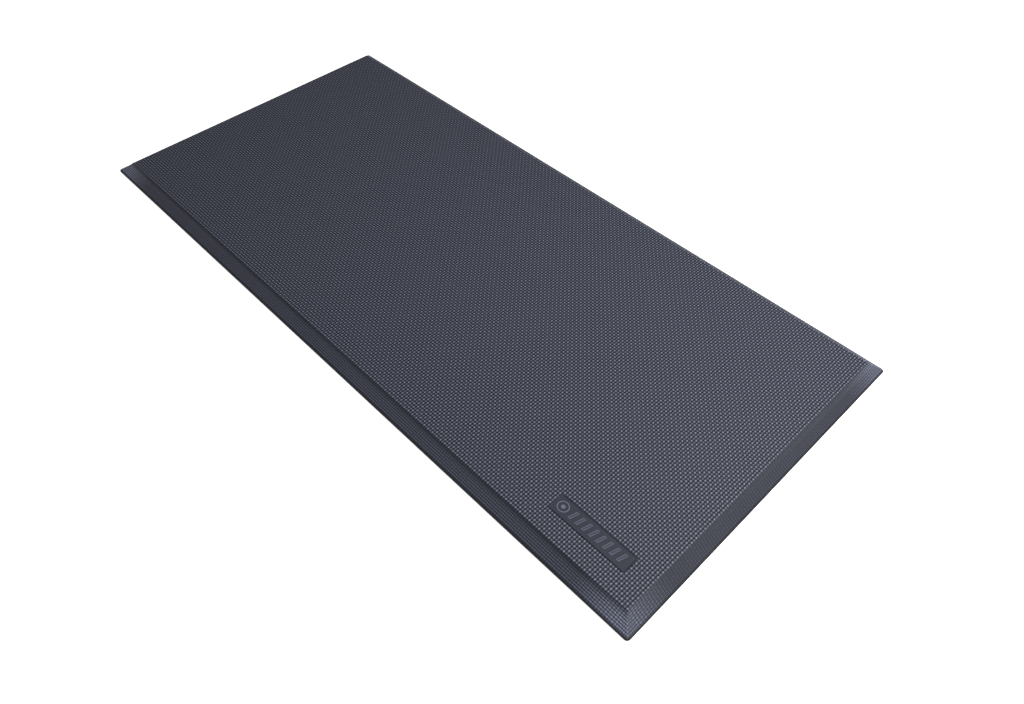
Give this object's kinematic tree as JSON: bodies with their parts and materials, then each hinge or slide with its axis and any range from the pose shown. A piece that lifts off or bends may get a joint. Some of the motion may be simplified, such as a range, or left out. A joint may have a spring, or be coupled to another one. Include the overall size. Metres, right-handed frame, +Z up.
{
  "type": "anti fatigue mat",
  "caption": "Rectangular anti-fatigue floor mat with ramped edges, a woven-pattern embossed cover, a smooth corner panel and a ribbed non-slip underside.",
  "frame": {"origin": "centre of the footprint on the floor plane", "axes": "+X along the length, +Y towards the long edge away from the smooth panel, +Z up out of the standing surface"},
  "size_m": [0.9, 0.45, 0.015],
  "materials": {
    "cover_elastomer": "matt slate blue-grey elastomer with a woven emboss",
    "cushion_foam": "closed-cell foam, dark grey",
    "grip_rubber": "matt black ribbed rubber",
    "bond_adhesive": "thin black hot-melt film"
  },
  "bodies": {
    "root": {"grip_base": "grip_rubber", "base_bond_film": "bond_adhesive", "foam_core": "cushion_foam", "cover_bond_film": "bond_adhesive", "top_cover": "cover_elastomer"}
  },
  "joints": []
}
